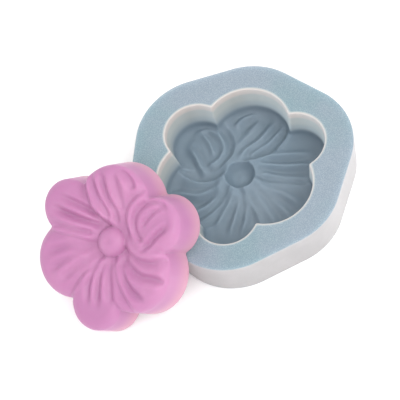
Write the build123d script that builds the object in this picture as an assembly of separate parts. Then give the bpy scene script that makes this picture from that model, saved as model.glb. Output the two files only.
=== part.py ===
"""Single-cavity silicone soap mould with a six-petal flower cavity, and the soap casting that comes out of it.

Millimetres and degrees. The origin is the centre of the mould's base and +Z is up.
A narrow petal and a corner of the block lie on the +X axis.
"""

import os
from math import atan2, cos, degrees, radians, sin, sqrt, tan

from build123d import *

# Mould block
NARROW_CORNER_REACH = 45.2  # from the centre to the rounded corner beside a narrow petal
WIDE_CORNER_REACH = 43.0
CORNER_RADIUS = 26.2
MOULD_HEIGHT = 19.3
WALL_DRAFT_ANGLE = 3.0  # the block narrows towards its base
BASE_EDGE_RADIUS = 1.0
RIM_EDGE_RADIUS = 0.6

# Flower: narrow and wide petals in turn, each a round bun standing on the flower's flat back
PETAL_COUNT = 6
NARROW_PETAL = {"distance": 22.5, "radius": 11.9, "groove_angles": (-12, 0, 12), "groove_reach": 7.5}
WIDE_PETAL = {"distance": 15.3, "radius": 16.8, "groove_angles": (-24, -8, 8, 24), "groove_reach": 11.0}
SHOULDER_HEIGHT = 14.5  # where the drafted side meets the domed top
PETAL_HEIGHT = 16.5
SIDE_DRAFT = 1.2
HUB_RADIUS = 6.6
HUB_CENTRE = (4.0, 1.0)  # off the middle, towards one narrow petal
HUB_HEIGHT = 17.2

GROOVE_RADIUS = 0.9  # the grooves fan out from the hub along each petal's top

# The soap shrinks as it cures, and lies against the mould with its back on the rim
SHRINKAGE = 0.97
CASTING_CENTRE = (-51.0, -14.0, 16.6)
CASTING_LEAN = 30.4
CASTING_LEANS_TOWARDS = 218.0
CASTING_SPIN = 134.0


def polar(distance, angle):
    """A point at that distance and angle from the centre, in the XY plane."""
    return (distance * cos(radians(angle)), distance * sin(radians(angle)))


def block_outline(radius):
    """Rounded hexagon: the hull round six corner circles of that radius."""
    corners = []
    for i in range(PETAL_COUNT):
        reach = NARROW_CORNER_REACH if i % 2 == 0 else WIDE_CORNER_REACH
        centre = polar(reach - CORNER_RADIUS, i * 360 / PETAL_COUNT)
        corners.append(Pos(*centre) * Circle(radius))
    return make_hull([corner.edge() for corner in corners])


def mould_block():
    """The silicone block, drafted towards its base, with softened edges."""
    base_radius = CORNER_RADIUS - MOULD_HEIGHT * tan(radians(WALL_DRAFT_ANGLE))
    base = block_outline(base_radius)
    rim = Pos(0, 0, MOULD_HEIGHT) * block_outline(CORNER_RADIUS)
    block = loft([base, rim], ruled=True)
    block = fillet(block.faces().sort_by(Axis.Z)[0].edges(), BASE_EDGE_RADIUS)
    return fillet(block.faces().sort_by(Axis.Z)[-1].edges(), RIM_EDGE_RADIUS)


def dome_radius(petal):
    """Radius of the sphere that a petal's domed top belongs to."""
    half_chord = petal["radius"] - SIDE_DRAFT
    rise = PETAL_HEIGHT - SHOULDER_HEIGHT
    return (half_chord**2 + rise**2) / (2 * rise)


def petal_bun(petal):
    """One petal as a turned solid on its own axis: flat back, drafted side, domed top."""
    shoulder = (petal["radius"] - SIDE_DRAFT, SHOULDER_HEIGHT)
    middle_x = shoulder[0] / 2
    ball = dome_radius(petal)
    middle_z = PETAL_HEIGHT - ball + sqrt(ball**2 - middle_x**2)
    outline = Polyline((0, PETAL_HEIGHT), (0, 0), (petal["radius"], 0), shoulder)
    dome = ThreePointArc(shoulder, (middle_x, middle_z), (0, PETAL_HEIGHT))
    profile = make_face(Plane.XZ * (outline + dome))
    return revolve(profile, Axis.Z)


def petal_groove(petal, centre, angle):
    """A shallow groove along the dome, running out from the hub that far off the line to the petal's centre."""
    out = Vector(*centre) - Vector(*HUB_CENTRE)
    bearing = degrees(atan2(out.Y, out.X)) + angle
    aside = out.length * sin(radians(angle))
    along = out.length * cos(radians(angle))
    ball = dome_radius(petal)
    sweep = 2 * degrees(petal["groove_reach"] / ball)
    arc = Torus(sqrt(ball**2 - aside**2), GROOVE_RADIUS, major_angle=sweep, align=None)
    upright = Rot(90, 0, 0) * Rot(0, 0, 90 - sweep / 2) * arc
    return Pos(*HUB_CENTRE) * Rot(0, 0, bearing) * Pos(along, 0, PETAL_HEIGHT - ball) * upright


def flower():
    """The flower as it comes out of the mould: back at z 0, petals and hub up."""
    buns = []
    grooves = []
    for i in range(PETAL_COUNT):
        petal = NARROW_PETAL if i % 2 == 0 else WIDE_PETAL
        centre = polar(petal["distance"], i * 360 / PETAL_COUNT)
        buns.append(Pos(*centre) * petal_bun(petal))
        grooves += [petal_groove(petal, centre, angle) for angle in petal["groove_angles"]]
    body = buns[0].fuse(*buns[1:]).cut(*grooves)
    hub = Pos(*HUB_CENTRE, HUB_HEIGHT - HUB_RADIUS) * Sphere(HUB_RADIUS)
    return body.fuse(hub)


def mould_body(master):
    """The block with the flower's negative sunk in its top face, petals down."""
    return mould_block() - Pos(0, 0, MOULD_HEIGHT) * Rot(0, 0, 120) * Rot(180, 0, 0) * master


def soap_casting(master):
    """The cured flower, leaning with its back on the mould's rim and one petal on the table."""
    tilt = Rot(0, 0, CASTING_LEANS_TOWARDS) * Rot(0, CASTING_LEAN, 0) * Rot(0, 0, CASTING_SPIN)
    return Pos(*CASTING_CENTRE) * tilt * scale(master, by=SHRINKAGE)


os.makedirs("parts", exist_ok=True)
flower_master = flower()
export_step(mould_body(flower_master), "parts/mould_body.step")
export_step(soap_casting(flower_master), "parts/soap_casting.step")
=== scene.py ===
"""Looks of a silicone flower soap mould and the soap casting that leans on it.

Shapes are worked out in millimetres and stored in metres. Both pieces take their petals from the same relief,
so that the cavity is the casting's negative.
"""

from math import cos, radians, sin

import bpy
import numpy as np
from mathutils import Matrix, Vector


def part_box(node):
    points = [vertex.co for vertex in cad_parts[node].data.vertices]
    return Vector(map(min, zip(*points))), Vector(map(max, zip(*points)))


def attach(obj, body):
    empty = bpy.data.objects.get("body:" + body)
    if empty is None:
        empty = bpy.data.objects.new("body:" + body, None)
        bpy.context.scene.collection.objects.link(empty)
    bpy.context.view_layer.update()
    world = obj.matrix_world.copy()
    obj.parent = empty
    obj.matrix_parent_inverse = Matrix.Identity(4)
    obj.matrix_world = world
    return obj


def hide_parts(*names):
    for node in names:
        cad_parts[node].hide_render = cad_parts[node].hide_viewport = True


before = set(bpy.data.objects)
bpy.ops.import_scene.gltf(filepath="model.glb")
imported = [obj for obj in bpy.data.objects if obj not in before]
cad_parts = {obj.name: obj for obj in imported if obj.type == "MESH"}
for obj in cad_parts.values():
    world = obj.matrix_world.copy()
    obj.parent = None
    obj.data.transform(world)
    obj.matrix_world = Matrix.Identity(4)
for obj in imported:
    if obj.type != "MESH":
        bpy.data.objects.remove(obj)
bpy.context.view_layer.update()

MM = 0.001

# Mould block: its outline is the hull of a corner circle beside each petal
MOULD_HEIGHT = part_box("mould_body")[1][2] / MM
CORNER_RADIUS = 26.17
CORNER_DISTANCES = (19.0, 16.8)  # beside a narrow petal, beside a wide one
WALL_DRAFT = 1.0  # how far the wall leans in from the top to the base
RIM_EDGE = 0.55
BASE_EDGE = 1.0
CAVITY_EDGE = 0.55

# Flower: the distance and radius of a petal's circle, and how the petals rise from the back to the face
PETAL_COUNT = 6
NARROW_PETAL = (22.5, 11.9)
WIDE_PETAL = (15.3, 16.8)
MIDDLE_RADIUS = 19.5  # of the disc that fills the flower's middle
NOTCH_BLEND = 0.9
SIDE_DRAFT = 1.2
SIDE_HEIGHT = 12.4  # top of the drafted side, where the shoulder starts
PETAL_TOP = 16.3
SHOULDER_WIDTH = 4.2
BACK_EDGE = [(0.0, 0.35), (0.12, 0.1), (0.4, 0.0)]  # (inwards, height) of the casting's softened back edge

# The face falls to a broad crater round the hub, and a narrow one at the hub's foot.
CRATER_DEPTH = 2.2
CRATER_RADIUS = 5.0
CRATER_WIDTH = 6.5
HUB_CENTRE = (2.4, 0.4)
HUB_RADIUS = 5.9
HUB_TOP = 17.1
HUB_RISE = 4.6
HUB_WALL_SLOPE = 20
HUB_BLEND = 0.9
HUB_FOOT_DEPTH = 0.45
HUB_FOOT_WIDTH = 1.5
DIMPLE_DEPTH = 0.6
DIMPLE_WIDTH = 1.7

# The narrow petal at 0 degrees is dished, with a ring-shaped groove round most of the dish.
DISH_CENTRE = (22.2, 1.0)
DISH_DEPTH = 0.5
DISH_EDGE = (6.0, 9.5)
RING_RADIUS = 8.0
RING_DEPTH = 1.3
RING_WIDTH = 1.2
RING_MIDDLE = 122  # direction of the middle of the ring's arc
RING_ENDS = (-0.45, 0.15)  # cosine of the turn from that middle, where the ring is gone and where it is whole
RING_RIM = (1.0, 2.6)  # how far inside the outline the ring is gone, and is whole

# Edges and grooves run outwards through (distance, direction) points, measured from this place by the hub.
LINES_FROM = (2.6, 0.6)
LINE_STEPS = 7  # straight steps between two points
LINE_BLEND = 1.2
LINE_START = (0, 0.2)  # shares of a line's length over which it fades in
LIP_SHARE = 0.3  # raised lips beside a line, as a share of its depth
EDGE_LIP_PLACE = 2.1  # from the line to the middle of its lip, in the line's widths
EDGE_SLOPE_POWER = 1.3
EDGE_RIM = (0.3, 2.5)
GROOVE_LIP_PLACE = 2
GROOVE_END = (0.78, 1.0)
GROOVE_RIM = (1.2, 3.4)
# An edge is where one petal lies over the next: steep on the upper petal's side, then a long slope.
# (points, depth, width of the steep side, width of the slope, upper petal's side: 1 is to the line's left)
EDGES = [
    (((3.0, 60), (6.5, 88), (10, 101), (16, 105), (27, 98), (36, 94)), 1.7, 1.3, 3.4, -1),
    (((3.0, 175), (6.5, 167), (10, 162), (16, 156), (27, 153), (36, 150)), 1.2, 1.2, 2.8, -1),
    (((3.0, 215), (7.0, 213), (12, 211), (19, 207), (28, 210), (36, 212)), 1.1, 1.2, 3.0, 1),
    (((3.0, 262), (6.5, 262), (11, 261), (17, 264), (27, 270), (36, 272)), 1.0, 1.2, 2.4, 1),
    (((3.0, 330), (6.5, 313), (9, 309), (14, 310), (19, 316), (25, 325), (36, 332)), 1.7, 1.3, 3.0, 1),
    (((9.5, 333), (7.8, 2), (9.4, 31), (14, 41), (19, 40), (24, 35), (36, 30)), 1.3, 1.3, 2.6, -1),
]
# (points, depth, width)
GROOVES = [
    # narrow petal at 0, inside its ring: two creases, with a rib between them
    (((15.0, 2), (18.0, 8), (22, 11), (27.5, 11)), 0.8, 1.0),
    (((13.5, 325), (17, 338), (20.5, 348), (26.5, 355)), 1.3, 1.2),
    # wide petal at 60: ribs that sweep round from the hub, and a short pit
    (((6.0, 44), (12, 61), (18, 75), (30, 80)), 1.3, 1.3),
    (((12.0, 45), (16, 53), (22, 62), (30, 67)), 0.8, 1.4),
    (((7.0, 66), (13, 80), (19, 87), (30, 89)), 1.0, 1.2),
    (((22.0, 43), (25, 51), (29, 65)), 1.5, 1.4),
    # narrow petal at 120
    (((7.0, 95), (12, 105), (19, 114), (30, 123)), 1.1, 1.2),
    (((6.5, 108), (11, 120), (19, 130), (30, 133)), 1.6, 1.3),
    (((7.0, 136), (12, 142), (19, 146), (30, 145)), 0.9, 1.3),
    # wide petal at 180
    (((7.0, 172), (12, 171), (20, 168), (30, 171)), 1.1, 1.6),
    (((7.5, 178), (14, 180), (22, 182), (31, 185)), 0.9, 1.6),
    (((7.0, 190), (12, 193), (19, 195), (28, 197)), 1.0, 1.6),
    # narrow petal at 240
    (((8.0, 222), (14, 220), (20, 224), (27, 231)), 0.9, 1.2),
    (((7.0, 235), (12, 233), (18, 236), (27, 240)), 1.1, 1.2),
    (((6.5, 247), (12, 248), (18, 252), (26, 253)), 1.1, 1.3),
    # wide petal at 300
    (((7.0, 281), (13, 277), (20, 278), (29, 286)), 1.3, 1.4),
    (((6.0, 300), (11, 291), (18, 296), (24, 305), (30, 309)), 1.6, 1.5),
]

# Casting: smaller than the cavity, and leaning with its back on the mould's rim
SHRINKAGE = 0.97
CASTING_CENTRE = (-51.0, -14.0, 16.6)  # the middle of its back
CASTING_SPIN = 134  # turn about its own axis
CASTING_LEAN = 30.4
CASTING_LEANS_TOWARDS = 218

# Mesh: rings of points round the middle, one point on each ray
ANGLES = np.linspace(0, 2 * np.pi, 520, endpoint=False)
COS = np.cos(ANGLES)
SIN = np.sin(ANGLES)
FLOWER_REACH = (6, 40)  # distances between which a ray leaves the flower
BLOCK_REACH = (10, 60)
REACH_STEPS = 40
FACE_MARGIN = 2.3  # what the face's even rings leave to the crowded rings of the shoulder
FACE_RINGS = 108
SHOULDER_RINGS = 12
SHOULDER_CROWDING = 1.8
SIDE_RINGS = 12
BACK_RINGS = 12
BASE_RINGS = 8
WALL_RINGS = 14
TOP_RINGS = 18
EDGE_RINGS = 5
EDGE_TURNS = [radians(90 * (i + 1) / EDGE_RINGS) for i in range(EDGE_RINGS)]

# Where the mould's painted light and shade go: a darker floor, lighter walls, shades at the wall's foot and
# on the hub's slope, a rim highlight, and lighter outer sides. A depth is below the mould's top, and an inset
# is from the flower's outline.
FLOOR_SHADE_DEPTHS = (0.3, 11.0)
LIT_WALL_END_DEPTHS = (9.2, 11.9)
FOOT_SHADE_DEPTH = 12.0  # a faint shade where the cavity's wall meets its floor
FOOT_SHADE_WIDTH = 1.1
FOOT_SHADE_INSET = 2.4
FOOT_SHADE = 0.35
HUB_SHADE_RADIUS = 0.72 * HUB_RADIUS
HUB_SHADE_WIDTH = 1.3
# painted highlight round the cavity's rim
RIM_HIGHLIGHT_START_INSETS = (-CAVITY_EDGE, -0.2)
RIM_HIGHLIGHT_END_INSETS = (0.1, 0.5)
RIM_HIGHLIGHT_DEPTH = 3
LIT_OUTSIDE_END = (0.2, 0.8)  # how level the surface is, where the outer sides' painted light ends
LIT_FLANK_START = (0.2, 1.0)  # how far the surface faces +X, where the flank's painted light starts
SOAP_LIT_SIDE_END = (0.5, 10.0)  # heights above the casting's back over which its side's painted light fades

# Colours
FACE_COLOURS = ("788E94", "85909A")
GRAIN_COLOURS = ("60788A", "C4D0D6")
# painted shade: the cavity floor's mottled colours, darker than the top's
SHADED_FLOOR_COLOURS = ("6F7F8B", "798792")
# painted shade: the colour of the shade at the cavity wall's foot and on the hub's slope
PAINTED_SHADE_COLOUR = "5A6C7A"
# painted light: the cavity walls' colours, lighter than the floor's, for light through the thin silicone
LIT_WALL_COLOURS = ("A8ADAC", "97A1A6")
# painted light: the outer sides' mottled colours, lighter than the top's
LIT_OUTSIDE_COLOURS = ("A3A1A2", "A9A7A8")
# painted light: the colour of the block's flank that faces +X, towards the key lamp
LIT_FLANK_COLOUR = "B3B1B2"
# painted highlight: the colour of the cavity's rim
RIM_HIGHLIGHT_COLOUR = "BDB5B1"
GLOW_COLOUR = "9CADB4"
SOAP_COLOURS = ("A97199", "B17A9F")
# painted light: the colour of the soap's side near its back, paler for light from the white floor
SOAP_LIT_SIDE_COLOUR = "BE8DA1"
STAGE_COLOURS = ("FAFAFA", "FFFFFF")

# Stage, in metres and watts
FLOOR_HALF = 3.0
STUDIO_BRIGHTNESS = 1.18

# Camera: what it looks at and how far off it is, in millimetres, and its angles in degrees
CAMERA_TARGET = (-18.97, 0.57, 1.6)
CAMERA_DISTANCE = 598
CAMERA_LENS = 138.4
CAMERA_SENSOR = 36.0
CAMERA_AZIMUTH = 3.0
CAMERA_ELEVATION = 60.2
CAMERA_ROLL = -23.66


def smooth_max(a, b, k):
    """The larger of two fields, with their crease rounded over about k."""
    h = np.clip(0.5 + 0.5 * (a - b) / k, 0, 1)
    return b + (a - b) * h + k * h * (1 - h)


def smooth_step(low, high, values):
    t = np.clip((values - low) / (high - low), 0, 1)
    return t * t * (3 - 2 * t)


def bell(distance, width):
    """1 where the distance is 0, falling away on both sides."""
    return np.exp(-((distance / width) ** 2))


def polar(distance, angle):
    return np.array([distance * cos(radians(angle)), distance * sin(radians(angle))])


def inset(x, y):
    """How far a point lies inside the flower's outline at its back."""
    depth = MIDDLE_RADIUS - np.hypot(x, y)
    for i in range(PETAL_COUNT):
        distance, radius = (NARROW_PETAL, WIDE_PETAL)[i % 2]
        cx, cy = polar(distance, 360 * i / PETAL_COUNT)
        depth = smooth_max(depth, radius - np.hypot(x - cx, y - cy), NOTCH_BLEND)
    return depth


def block_inset(x, y):
    """How far a point lies inside the block's outline at its top."""
    centres = [polar(CORNER_DISTANCES[i % 2], 360 * i / PETAL_COUNT) for i in range(PETAL_COUNT)]
    inside = np.full(np.shape(x), True)
    nearest = np.full(np.shape(x), np.inf)
    for i in range(PETAL_COUNT):
        ax, ay = centres[i]
        ex, ey = centres[(i + 1) % PETAL_COUNT] - centres[i]
        t = np.clip(((x - ax) * ex + (y - ay) * ey) / (ex * ex + ey * ey), 0, 1)
        nearest = np.minimum(nearest, np.hypot(x - ax - t * ex, y - ay - t * ey))
        inside &= ex * (y - ay) - ey * (x - ax) > 0
    return CORNER_RADIUS - np.where(inside, -nearest, nearest)


def reach(field, level, span):
    """Along each ray from the centre, the distance at which the field falls to that level."""
    near = np.full(ANGLES.shape, float(span[0]))
    far = np.full(ANGLES.shape, float(span[1]))
    for _ in range(REACH_STEPS):
        middle = (near + far) / 2
        above = field(middle * COS, middle * SIN) > level
        near = np.where(above, middle, near)
        far = np.where(above, far, middle)
    return (near + far) / 2


def smooth_line(points):
    """A curve through (distance, direction) points, as short straight steps."""
    knots = np.array([polar(*p) for p in points])
    knots = np.vstack([2 * knots[0] - knots[1], knots, 2 * knots[-1] - knots[-2]])
    line = []
    for i in range(1, len(knots) - 2):
        a, b, c, d = knots[i - 1 : i + 3]
        for step in range(LINE_STEPS):
            t = step / LINE_STEPS
            bend = (2 * a - 5 * b + 4 * c - d) * t**2 + (3 * b - a - 3 * c + d) * t**3
            line.append(b + 0.5 * ((c - a) * t + bend))
    line.append(knots[-2])
    return np.array(line)


def along_curve(x, y, points):
    """Signed distance to a curve through (distance, direction) points, and how far along it lies, 0 to 1.

    The curve's steps are blended by nearness, so that both fields stay smooth inside a bend.
    """
    line = smooth_line(points)
    steps = len(line) - 1
    squares = []
    offsets = []
    places = []
    for i in range(steps):
        ax, ay = line[i]
        ex, ey = line[i + 1] - line[i]
        length = np.hypot(ex, ey)
        s = np.clip(((x - ax) * ex + (y - ay) * ey) / length**2, 0, 1)
        squares.append((x - ax - s * ex) ** 2 + (y - ay - s * ey) ** 2)
        offsets.append((ex * (y - ay) - ey * (x - ax)) / length)
        places.append((i + s) / steps)
    nearness = np.exp((np.min(squares, 0) - squares) / LINE_BLEND**2)
    total = nearness.sum(0)
    return (nearness * offsets).sum(0) / total, (nearness * places).sum(0) / total


def dish_cut(x, y, depth):
    """Depth of the dish in one narrow petal and of the groove round it."""
    x = x - DISH_CENTRE[0]
    y = y - DISH_CENTRE[1]
    r = np.hypot(x, y)
    along, across = polar(1, RING_MIDDLE)
    round_arc = (x * along + y * across) / (r + 0.01)
    ring_depth = RING_DEPTH * smooth_step(*RING_ENDS, round_arc) * smooth_step(*RING_RIM, depth)
    return ring_depth * bell(r - RING_RADIUS, RING_WIDTH) + DISH_DEPTH * (1 - smooth_step(*DISH_EDGE, r))


def edge_cut(x, y, depth):
    """Depth of the falls from one petal to the petal beneath it. It is below 0 on their raised lips."""
    cut = 0
    for points, fall, steep, slope, upper in EDGES:
        side, place = along_curve(x, y, points)
        side = side * upper
        shape = np.where(side > 0, bell(side, steep), np.exp(-np.abs(side / slope) ** EDGE_SLOPE_POWER))
        shape -= LIP_SHARE * bell(side - EDGE_LIP_PLACE * steep, steep)
        cut = cut + fall * shape * smooth_step(*LINE_START, place)
    return cut * smooth_step(*EDGE_RIM, depth)


def groove_cut(x, y, depth):
    """Depth of the creases between the petals' ribs. It is below 0 on their raised lips."""
    cut = 0
    for points, fall, width in GROOVES:
        side, place = along_curve(x, y, points)
        ends = smooth_step(*LINE_START, place) * (1 - smooth_step(*GROOVE_END, place))
        lips = LIP_SHARE * bell(np.abs(side) - GROOVE_LIP_PLACE * width, width)
        cut = cut + fall * ends * (bell(side, width) - lips)
    return cut * smooth_step(*GROOVE_RIM, depth)


def hub_distance(x, y):
    return np.hypot(x - HUB_CENTRE[0], y - HUB_CENTRE[1])


def hub_height(r):
    """Height of the domed hub and of the steep wall round it, at a distance from its axis."""
    dome = np.sqrt(np.clip(1 - (r / HUB_RADIUS) ** 2, 0, 1))
    hub = HUB_TOP - HUB_RISE * (1 - dome) - HUB_WALL_SLOPE * np.clip(r - HUB_RADIUS, 0, None)
    return hub - DIMPLE_DEPTH * bell(r, DIMPLE_WIDTH)


def relief(x, y):
    """Height of the flower's face above its back."""
    depth = inset(x, y)
    rise = np.clip((depth - SIDE_DRAFT) / SHOULDER_WIDTH, 0, 1)
    z = SIDE_HEIGHT + (PETAL_TOP - SIDE_HEIGHT) * np.sqrt(1 - (1 - rise) ** 2)
    z -= dish_cut(x, y, depth)
    z -= edge_cut(x - LINES_FROM[0], y - LINES_FROM[1], depth)
    z -= groove_cut(x - LINES_FROM[0], y - LINES_FROM[1], depth)
    r = hub_distance(x, y)
    z -= CRATER_DEPTH * bell(r - CRATER_RADIUS, CRATER_WIDTH)
    z -= HUB_FOOT_DEPTH * bell(r - HUB_RADIUS, HUB_FOOT_WIDTH)
    return np.minimum(smooth_max(z, hub_height(r), HUB_BLEND), HUB_TOP)


def turned_over(x, y):
    """The place on the flower that matches a place in the cavity: mirrored, and turned by a third."""
    along, across = polar(1, -120)
    return x * along - y * across, -(x * across + y * along)


def cavity_relief(x, y):
    return relief(*turned_over(x, y))


def ring(distance, height):
    """A ring of points at that distance along each ray and that height, both numbers or arrays."""
    distance = distance * np.ones(ANGLES.shape)
    height = height * np.ones(ANGLES.shape)
    return np.stack([distance * COS, distance * SIN, height], 1)


def closed_mesh(name, rings):
    """A closed surface through rings of points, with a fan of triangles over the first ring and the last."""
    count = len(ANGLES)
    around = np.arange(count)
    ahead = (around + 1) % count
    faces = []
    for i in range(len(rings) - 1):
        a = i * count
        b = a + count
        faces += np.stack([a + around, a + ahead, b + ahead, b + around], 1).tolist()
    last = (len(rings) - 1) * count
    tip = len(rings) * count
    faces += np.stack([ahead, around, np.full(count, tip)], 1).tolist()
    faces += np.stack([last + around, last + ahead, np.full(count, tip + 1)], 1).tolist()
    points = np.concatenate(rings + [[rings[0].mean(0), rings[-1].mean(0)]])
    mesh = bpy.data.meshes.new(name)
    mesh.from_pydata(points.tolist(), [], faces)
    mesh.shade_smooth()
    mesh.update()
    return mesh


def flower_rings(face_height):
    """The flower's face and side, from the centre out and down to its back."""
    face = reach(inset, SIDE_DRAFT + FACE_MARGIN, FLOWER_REACH)
    distances = [face * (i / FACE_RINGS) for i in range(1, FACE_RINGS + 1)]
    for i in range(1, SHOULDER_RINGS + 1):
        level = SIDE_DRAFT + FACE_MARGIN * (1 - i / SHOULDER_RINGS) ** SHOULDER_CROWDING
        distances.append(reach(inset, level, FLOWER_REACH))
    distances = np.array(distances)
    heights = face_height(distances * COS, distances * SIN)
    rings = [ring(d, h) for d, h in zip(distances, heights)]
    for i in range(1, SIDE_RINGS + 1):
        left = 1 - i / SIDE_RINGS
        rings.append(ring(reach(inset, SIDE_DRAFT * left, FLOWER_REACH), heights[-1] * left))
    return rings


def casting_mesh():
    """The soap flower on its own axes: back at height 0, face up."""
    rings = flower_rings(relief)[:-1]
    back = reach(inset, 0, FLOWER_REACH)
    rings += [ring(back - inwards, height) for inwards, height in BACK_EDGE]
    flat = back - BACK_EDGE[-1][0]
    rings += [ring(flat * (1 - i / BACK_RINGS), 0) for i in range(1, BACK_RINGS)]
    return closed_mesh("soap_casting_surface", rings)


def block_rings():
    """The block's base, drafted wall and rim, from the centre of the base out and up to the top."""
    outer = reach(block_inset, 0, BLOCK_REACH)
    base = outer - WALL_DRAFT
    flat = base - BASE_EDGE
    rings = [ring(flat * (i / BASE_RINGS), 0) for i in range(1, BASE_RINGS + 1)]
    rings += [ring(flat + BASE_EDGE * sin(t), BASE_EDGE * (1 - cos(t))) for t in EDGE_TURNS]
    high = MOULD_HEIGHT - RIM_EDGE
    for i in range(1, WALL_RINGS + 1):
        height = BASE_EDGE + (high - BASE_EDGE) * i / WALL_RINGS
        rings.append(ring(outer - WALL_DRAFT * (1 - height / MOULD_HEIGHT), height))
    rim = outer - WALL_DRAFT * (1 - high / MOULD_HEIGHT)
    rings += [ring(rim - RIM_EDGE * (1 - cos(t)), high + RIM_EDGE * sin(t)) for t in EDGE_TURNS]
    mouth = reach(inset, -CAVITY_EDGE, FLOWER_REACH)
    rim = rim - RIM_EDGE
    rings += [ring(rim + (mouth - rim) * i / TOP_RINGS, MOULD_HEIGHT) for i in range(1, TOP_RINGS + 1)]
    return rings


def cavity_rings():
    """The cavity, from its softened lip down its side and across its floor to the centre."""
    rings = []
    for turn in EDGE_TURNS:
        distance = reach(inset, -CAVITY_EDGE * (1 - sin(turn)), FLOWER_REACH)
        rings.append(ring(distance, MOULD_HEIGHT - CAVITY_EDGE * (1 - cos(turn))))
    flower = flower_rings(cavity_relief)
    side = len(flower) - SIDE_RINGS - 1
    side_height = flower[side][:, 2]
    for level in reversed(flower[side:-1]):
        depth = CAVITY_EDGE + level[:, 2] * (1 - CAVITY_EDGE / side_height)
        rings.append(np.column_stack([level[:, :2], MOULD_HEIGHT - depth]))
    for level in reversed(flower[:side]):
        rings.append(np.column_stack([level[:, :2], MOULD_HEIGHT - level[:, 2]]))
    return rings


def mould_mesh():
    """The silicone block, with the flower's negative sunk in its top."""
    return closed_mesh("mould_body_surface", block_rings() + cavity_rings())


def colour(code):
    """A display colour such as A0B0C0, as the linear values that a shader takes."""
    parts = [int(code[i : i + 2], 16) / 255 for i in (0, 2, 4)]
    return [c / 12.92 if c <= 0.04045 else ((c + 0.055) / 1.055) ** 2.4 for c in parts] + [1.0]


class Shader:
    """A material's node tree, with short calls to add nodes and link them."""

    def __init__(self, name):
        self.material = bpy.data.materials.new(name)
        self.material.use_nodes = True
        self.nodes = self.material.node_tree.nodes
        self.links = self.material.node_tree.links
        self.surface = self.nodes["Principled BSDF"]

    def node(self, kind, **values):
        made = self.nodes.new(kind)
        for key, value in values.items():
            setattr(made, key, value)
        return made

    def feed(self, target, value):
        if isinstance(value, bpy.types.NodeSocket):
            self.links.new(value, target)
        else:
            target.default_value = value

    def noise(self, scale, detail=3.0, roughness=0.5):
        made = self.node("ShaderNodeTexNoise")
        place = self.node("ShaderNodeTexCoord")
        self.links.new(place.outputs["Object"], made.inputs["Vector"])
        made.inputs["Scale"].default_value = scale
        made.inputs["Detail"].default_value = detail
        made.inputs["Roughness"].default_value = roughness
        return made.outputs["Fac"]

    def ramp(self, value, low, high):
        """0 at the low value, 1 at the high one, and smooth between."""
        made = self.node("ShaderNodeMapRange", clamp=True, interpolation_type="SMOOTHSTEP")
        self.feed(made.inputs["Value"], value)
        made.inputs["From Min"].default_value = low
        made.inputs["From Max"].default_value = high
        return made.outputs["Result"]

    def mix(self, share, a, b):
        made = self.node("ShaderNodeMix", data_type="RGBA")
        self.feed(made.inputs["Factor"], share)
        self.feed(made.inputs[6], a)
        self.feed(made.inputs[7], b)
        return made.outputs[2]

    def blend(self, value, low, high, colours):
        """A mix of two colour codes, by a value's smooth rise from low to high."""
        return self.mix(self.ramp(value, low, high), colour(colours[0]), colour(colours[1]))

    def times(self, value, factor):
        made = self.node("ShaderNodeMath", operation="MULTIPLY")
        self.feed(made.inputs[0], value)
        self.feed(made.inputs[1], factor)
        return made.outputs[0]

    def attribute(self, name):
        return self.node("ShaderNodeAttribute", attribute_name=name).outputs["Fac"]

    def bump(self, height, strength, distance, before=None):
        made = self.node("ShaderNodeBump")
        made.inputs["Strength"].default_value = strength
        made.inputs["Distance"].default_value = distance
        self.links.new(height, made.inputs["Height"])
        if before is not None:
            self.links.new(before, made.inputs["Normal"])
        return made.outputs["Normal"]

    def set(self, **values):
        for key, value in values.items():
            self.feed(self.surface.inputs[key.replace("_", " ")], value)


def silicone():
    """Matt, grainy and slightly see-into silicone, tinted with painted light and shade by the values that
    paint_mould stores.
    """
    s = Shader("silicone")
    depth = s.attribute("depth")
    cloud = s.noise(28.0, 4.0)
    grain = s.noise(2600.0, 2.0, 0.6)
    face = s.blend(cloud, 0.35, 0.65, FACE_COLOURS)
    dark_grain = s.mix(0.2, face, colour(GRAIN_COLOURS[0]))
    light_grain = s.mix(0.2, face, colour(GRAIN_COLOURS[1]))
    face = s.mix(s.ramp(grain, 0.38, 0.68), dark_grain, light_grain)
    # painted shade: the cavity's floor darker than the top, mottled like it
    floor = s.blend(cloud, 0.3, 0.7, SHADED_FLOOR_COLOURS)
    body = s.mix(s.ramp(depth, 0.05, 1.0), face, floor)
    # painted shade at the foot of the cavity's wall and on the hub's slope
    body = s.mix(s.times(s.attribute("painted_shade"), 0.4), body, colour(PAINTED_SHADE_COLOUR))
    # painted light: the cavity's upper walls lighter, for light through the thin silicone
    body = s.mix(s.attribute("wall"), body, s.blend(depth, 0.5, 1.0, LIT_WALL_COLOURS))
    # painted light: the block's outer sides lighter than its top, with a mottle
    lit_outside = s.blend(s.noise(110.0), 0.35, 0.7, LIT_OUTSIDE_COLOURS)
    # painted light: the outer flank that faces +X lighter still
    lit_outside = s.mix(s.attribute("lit_flank"), lit_outside, colour(LIT_FLANK_COLOUR))
    body = s.mix(s.attribute("lit_outside"), body, lit_outside)
    # painted highlight round the cavity's rim
    body = s.mix(s.attribute("lip"), body, colour(RIM_HIGHLIGHT_COLOUR))
    s.set(Base_Color=body, Roughness=0.6, IOR=1.41, Specular_IOR_Level=0.3)
    s.set(Subsurface_Weight=0.35, Subsurface_Radius=(1.0, 1.1, 1.2), Subsurface_Scale=0.009)
    # The glow stands for light that comes through the wall.
    s.set(Emission_Color=colour(GLOW_COLOUR), Emission_Strength=s.times(s.attribute("glow"), 0.42))
    normal = s.bump(grain, 0.4, 0.00012)
    s.set(Normal=s.bump(s.noise(320.0), 0.15, 0.0002, normal))
    return s.material


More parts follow.
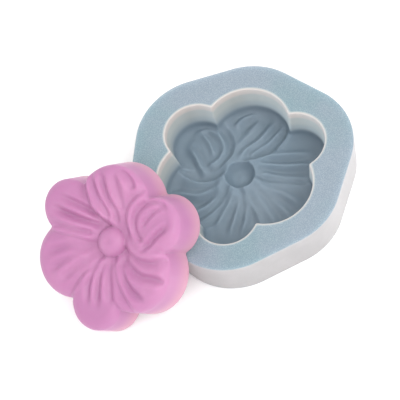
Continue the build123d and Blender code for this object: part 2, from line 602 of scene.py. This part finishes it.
def soap():
    """Satin soap with fine pores, painted paler towards the casting's back for light thrown up by the white
    floor and scattered in the soap.
    """
    s = Shader("soap")
    body = s.blend(s.noise(45.0, 4.0), 0.3, 0.7, SOAP_COLOURS)
    # painted light: the soap's side paler towards its back
    body = s.mix(s.attribute("side"), body, colour(SOAP_LIT_SIDE_COLOUR))
    s.set(Base_Color=body, Roughness=0.42, IOR=1.45, Specular_IOR_Level=0.4)
    s.set(Subsurface_Weight=0.4, Subsurface_Radius=(1.3, 0.8, 1.0), Subsurface_Scale=0.003)
    pores = s.bump(s.noise(1800.0, 2.0), 0.12, 0.0001)
    s.set(Normal=s.bump(s.noise(140.0), 0.2, 0.0003, pores))
    return s.material


def stage_white():
    s = Shader("floor_white")
    s.set(Base_Color=s.blend(s.noise(3.0), 0.3, 0.7, STAGE_COLOURS), Roughness=0.9)
    return s.material


def paint(mesh, name, values):
    """Stores one number per point for the material to read."""
    layer = mesh.attributes.new(name, "FLOAT", "POINT")
    layer.data.foreach_set("value", np.asarray(values, np.float32))


def paint_mould(mesh):
    """Stores where the mould's painted light and shade go. The mesh is still in millimetres."""
    points = np.array([v.co for v in mesh.vertices])
    normals = np.array([v.normal for v in mesh.vertices])
    x, y, z = points.T
    inside = inset(x, y)
    below = MOULD_HEIGHT - z
    in_cavity = (inside > -CAVITY_EDGE - 0.05) & (z > BASE_EDGE)
    # painted shade: how far the floor's darker colour has taken over, by depth in the cavity
    paint(mesh, "depth", np.where(in_cavity, smooth_step(*FLOOR_SHADE_DEPTHS, below), 0))
    # painted light: the cavity's upper walls lighter, and a painted glow on the walls that face -X, both for
    # light through the thin silicone
    wall = np.where(in_cavity, 1 - smooth_step(*LIT_WALL_END_DEPTHS, below), 0)
    paint(mesh, "wall", wall)
    paint(mesh, "glow", wall * np.clip(-normals[:, 0], 0, 1))
    # painted shade at the foot of the cavity's wall and in a ring on the hub's slope
    painted_shade = FOOT_SHADE * bell(below - FOOT_SHADE_DEPTH, FOOT_SHADE_WIDTH) * (inside < FOOT_SHADE_INSET)
    painted_shade += bell(hub_distance(*turned_over(x, y)) - HUB_SHADE_RADIUS, HUB_SHADE_WIDTH)
    paint(mesh, "painted_shade", np.where(in_cavity, np.clip(painted_shade, 0, 1), 0))
    # painted light: the block's steep outer sides lighter than its top
    steep = 1 - smooth_step(*LIT_OUTSIDE_END, np.abs(normals[:, 2]))
    paint(mesh, "lit_outside", np.where(in_cavity, 0, steep))
    # painted light on the outer flank that faces +X
    paint(mesh, "lit_flank", smooth_step(*LIT_FLANK_START, normals[:, 0]))
    # painted highlight round the cavity's rim, near the top
    lip = smooth_step(*RIM_HIGHLIGHT_START_INSETS, inside) * (1 - smooth_step(*RIM_HIGHLIGHT_END_INSETS, inside))
    paint(mesh, "lip", np.where(below < RIM_HIGHLIGHT_DEPTH, lip, 0))


def add(name, data):
    thing = bpy.data.objects.new(name, data)
    bpy.context.scene.collection.objects.link(thing)
    return thing


def area_light(name, position, size, power):
    """A square light that shines at the origin."""
    light = bpy.data.lights.new(name, "AREA")
    light.size = size
    light.energy = power
    lamp = add(name, light)
    lamp.location = position
    lamp.rotation_euler = (-lamp.location).to_track_quat("-Z", "Y").to_euler()


def add_camera():
    """The camera, rolled about its own line of sight."""
    data = bpy.data.cameras.new("camera")
    data.lens = CAMERA_LENS
    data.sensor_width = CAMERA_SENSOR
    azimuth, elevation, roll = radians(CAMERA_AZIMUTH), radians(CAMERA_ELEVATION), radians(CAMERA_ROLL)
    back = np.array([sin(azimuth) * cos(elevation), -cos(azimuth) * cos(elevation), sin(elevation)])
    right = np.array([cos(azimuth), sin(azimuth), 0.0])
    up = np.cross(back, right)
    pose = np.eye(4)
    pose[:3, 0] = cos(roll) * right + sin(roll) * up
    pose[:3, 1] = cos(roll) * up - sin(roll) * right
    pose[:3, 2] = back
    pose[:3, 3] = (np.array(CAMERA_TARGET) + back * CAMERA_DISTANCE) * MM
    camera = add("camera", data)
    camera.matrix_world = Matrix(pose.tolist())
    bpy.context.scene.camera = camera


# The silicone mould
mould_shape = mould_mesh()
paint_mould(mould_shape)
mould_shape.transform(Matrix.Scale(MM, 4))
mould_shape.materials.append(silicone())
mould = add("silicone_mould", mould_shape)
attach(mould, "mould")
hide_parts("mould_body")

# The soap casting
casting_shape = casting_mesh()
heights = np.array([v.co.z for v in casting_shape.vertices])
# painted light: the soap's side paler towards its back
paint(casting_shape, "side", 1 - smooth_step(*SOAP_LIT_SIDE_END, heights))
spin = Matrix.Rotation(radians(CASTING_SPIN), 4, "Z")
lean = Matrix.Rotation(radians(CASTING_LEAN), 4, "Y")
turn = Matrix.Rotation(radians(CASTING_LEANS_TOWARDS), 4, "Z")
place = Matrix.Translation([v * MM for v in CASTING_CENTRE])
casting_shape.transform(place @ turn @ lean @ spin @ Matrix.Scale(SHRINKAGE * MM, 4))
casting_shape.materials.append(soap())
casting = add("flower_soap", casting_shape)
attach(casting, "casting")
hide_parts("soap_casting")

# Floor
floor_mesh = bpy.data.meshes.new("floor")
corners = [(-FLOOR_HALF, -FLOOR_HALF, 0), (FLOOR_HALF, -FLOOR_HALF, 0)]
corners += [(FLOOR_HALF, FLOOR_HALF, 0), (-FLOOR_HALF, FLOOR_HALF, 0)]
floor_mesh.from_pydata(corners, [], [(0, 1, 2, 3)])
floor_mesh.materials.append(stage_white())
floor = add("floor", floor_mesh)

# Light
world = bpy.data.worlds.new("studio")
world.use_nodes = True
world.node_tree.nodes["Background"].inputs["Color"].default_value = (1, 1, 1, 1)
world.node_tree.nodes["Background"].inputs["Strength"].default_value = STUDIO_BRIGHTNESS
bpy.context.scene.world = world
area_light("key", position=(0.6, -0.3, 0.75), size=0.6, power=2.4)
area_light("front", position=(0.1, -0.65, 0.8), size=0.8, power=4.8)
bpy.context.scene.view_settings.view_transform = "Standard"

add_camera()

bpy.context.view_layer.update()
